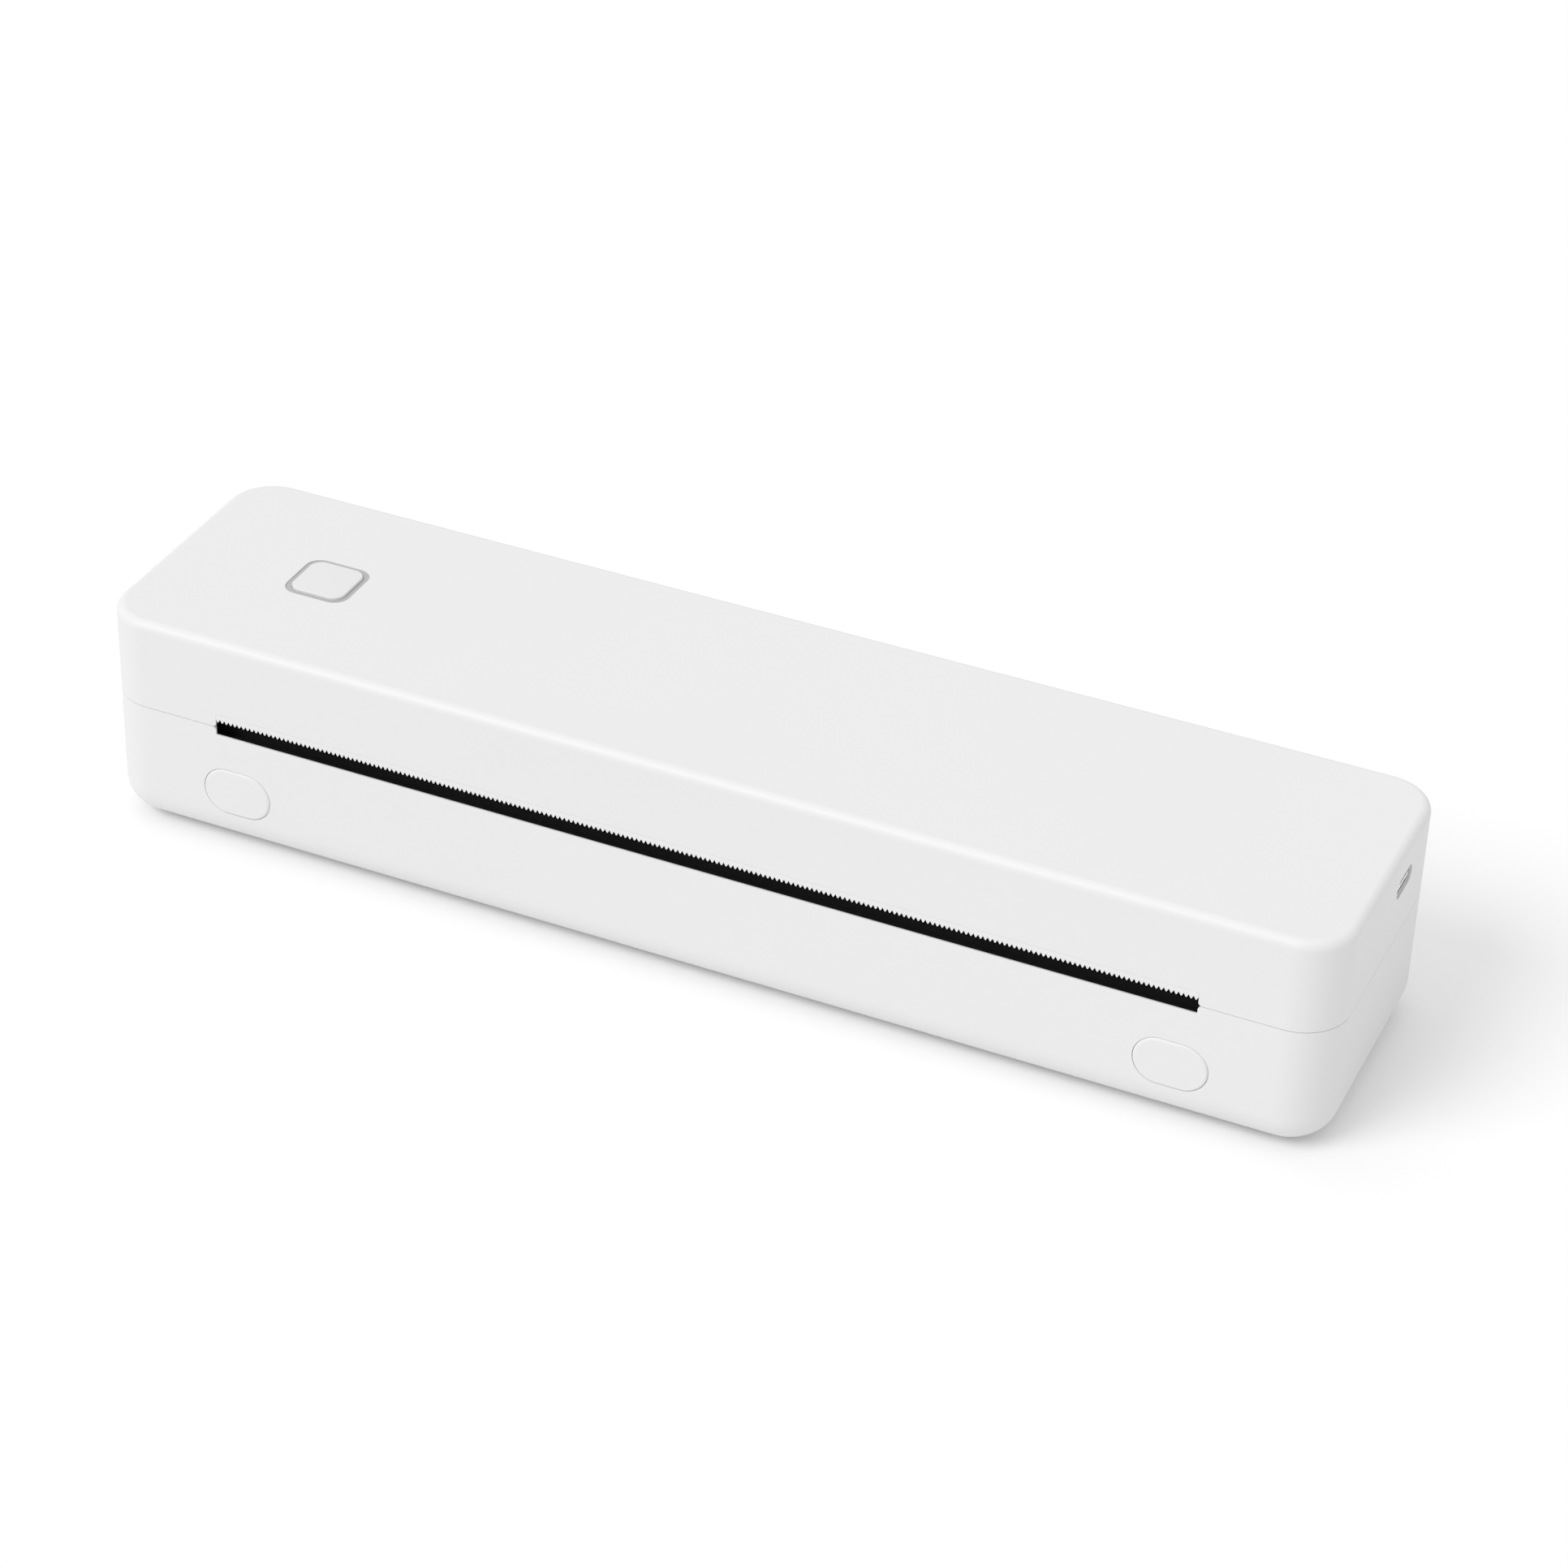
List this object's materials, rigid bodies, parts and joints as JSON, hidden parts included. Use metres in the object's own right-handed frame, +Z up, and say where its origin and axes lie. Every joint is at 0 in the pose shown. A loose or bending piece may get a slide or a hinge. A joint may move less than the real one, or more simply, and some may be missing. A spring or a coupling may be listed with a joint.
{
  "type": "a4 portable thermal printer",
  "caption": "Slim white bar-shaped thermal printer whose hinged cover carries the print head and whose front has a serrated paper slot between oval latch buttons.",
  "frame": {"origin": "middle of the surface that the rubber feet stand on", "axes": "+X along the housing to the right seen from the front, +Y to the rear, +Z up; the paper slot faces -Y"},
  "size_m": [0.268, 0.0638, 0.0503],
  "materials": {
    "white_shell": "fine satin moulded plastic, white",
    "grey_ring": "translucent light grey ring",
    "black_liner": "black moulded plastic, fine texture",
    "bright_steel": "zinc plated steel",
    "aluminium": "extruded aluminium, brushed",
    "black_rubber": "ground black rubber",
    "green_board": "green solder mask with parts",
    "battery_wrap": "blue shrink wrap",
    "ivory_gear": "acetal, natural",
    "dark_ceramic": "glazed dark ceramic",
    "cable_jacket": "flexible cable jacket"
  },
  "bodies": {
    "base": {"base_shell": "white_shell", "feet": "black_rubber", "hinge_pins": "bright_steel", "paper_tray": "black_liner", "tray_screws": "bright_steel", "platen_bushes": "ivory_gear", "latch_spring_left": "bright_steel", "latch_spring_right": "bright_steel"},
    "cover": {"cover_shell": "white_shell", "tear_bar": "white_shell", "button_ring": "grey_ring", "cover_liner": "black_liner", "liner_screws": "bright_steel", "mech_frame": "bright_steel", "frame_screws": "bright_steel", "head_pivot_pin": "bright_steel", "head_springs": "bright_steel", "gear_plate": "bright_steel", "gear_post": "bright_steel", "gear_clip": "bright_steel", "plate_screws": "bright_steel", "motor": "bright_steel", "main_board": "green_board", "board_screws": "bright_steel", "usb_port": "bright_steel", "battery_cells": "battery_wrap", "button_board": "green_board", "power_switch": "black_liner", "button_dome": "black_rubber", "paper_sensor": "black_liner", "head_cable": "cable_jacket", "motor_lead": "cable_jacket", "button_lead": "cable_jacket", "battery_lead": "cable_jacket"},
    "head": {"print_head": "dark_ceramic", "heat_sink": "aluminium"},
    "platen": {"platen_shaft": "bright_steel", "platen_rubber": "black_rubber", "platen_gear": "ivory_gear"},
    "reduction_gear": {"reduction_gear": "ivory_gear"},
    "motor_rotor": {"motor_shaft": "bright_steel", "motor_pinion": "ivory_gear"},
    "latch_left": {"latch_button_left": "white_shell"},
    "latch_right": {"latch_button_right": "white_shell"},
    "power_button": {"power_button": "white_shell"},
    "guide_left": {"paper_guide_left": "black_liner"},
    "guide_right": {"paper_guide_right": "black_liner"},
    "guide_pinion": {"guide_pinion": "ivory_gear"}
  },
  "joints": [
    {"name": "cover_hinge", "type": "hinge", "parent": "base", "child": "cover", "pos_m": [0, 0.02875, 0.0295], "axis": [-1, 0, 0], "range_deg": [0, 90]},
    {"name": "head_pivot", "type": "hinge", "parent": "cover", "child": "head", "pos_m": [0, -0.0085, 0.0354], "axis": [-1, 0, 0], "range_deg": [0, 1.5], "stiffness_Nm_per_rad": 4, "springref_deg": -3.44, "deforming": ["head_springs"]},
    {"name": "platen_spin", "type": "hinge", "parent": "base", "child": "platen", "pos_m": [0, -0.0195, 0.0238], "axis": [1, 0, 0], "continuous": true},
    {"name": "reduction_gear_spin", "type": "hinge", "parent": "cover", "child": "reduction_gear", "pos_m": [-0.128, -0.01451, 0.0336], "axis": [1, 0, 0], "continuous": true},
    {"name": "motor_spin", "type": "hinge", "parent": "cover", "child": "motor_rotor", "pos_m": [-0.128, -0.0016, 0.03755], "axis": [1, 0, 0], "continuous": true},
    {"name": "latch_left_push", "type": "slide", "parent": "base", "child": "latch_left", "axis": [0, 1, 0], "range_m": [0, 0.0015], "stiffness_N_per_m": 300, "springref_m": -0.003, "deforming": ["latch_spring_left"]},
    {"name": "latch_right_push", "type": "slide", "parent": "base", "child": "latch_right", "axis": [0, 1, 0], "range_m": [0, 0.0015], "stiffness_N_per_m": 300, "springref_m": -0.003, "deforming": ["latch_spring_right"]},
    {"name": "power_button_press", "type": "slide", "parent": "cover", "child": "power_button", "axis": [0, 0, -1], "range_m": [0, 0.0006], "stiffness_N_per_m": 400, "springref_m": -0.001, "deforming": ["button_dome"]},
    {"name": "guide_left_slide", "type": "slide", "parent": "base", "child": "guide_left", "axis": [1, 0, 0], "range_m": [0, 0.0665]},
    {"name": "guide_right_slide", "type": "slide", "parent": "base", "child": "guide_right", "axis": [-1, 0, 0], "range_m": [0, 0.0665]},
    {"name": "guide_pinion_spin", "type": "hinge", "parent": "base", "child": "guide_pinion", "pos_m": [0, 0.008, 0.0042], "axis": [0, 0, 1], "range_deg": [0, 681]}
  ],
  "couplings": [
    {"joint": "reduction_gear_spin", "follows": "platen_spin", "ratio": -1.75},
    {"joint": "motor_spin", "follows": "platen_spin", "ratio": 5},
    {"joint": "guide_right_slide", "follows": "guide_left_slide", "ratio": 1},
    {"joint": "guide_pinion_spin", "follows": "guide_left_slide", "rad_per_m": 178.57}
  ]
}
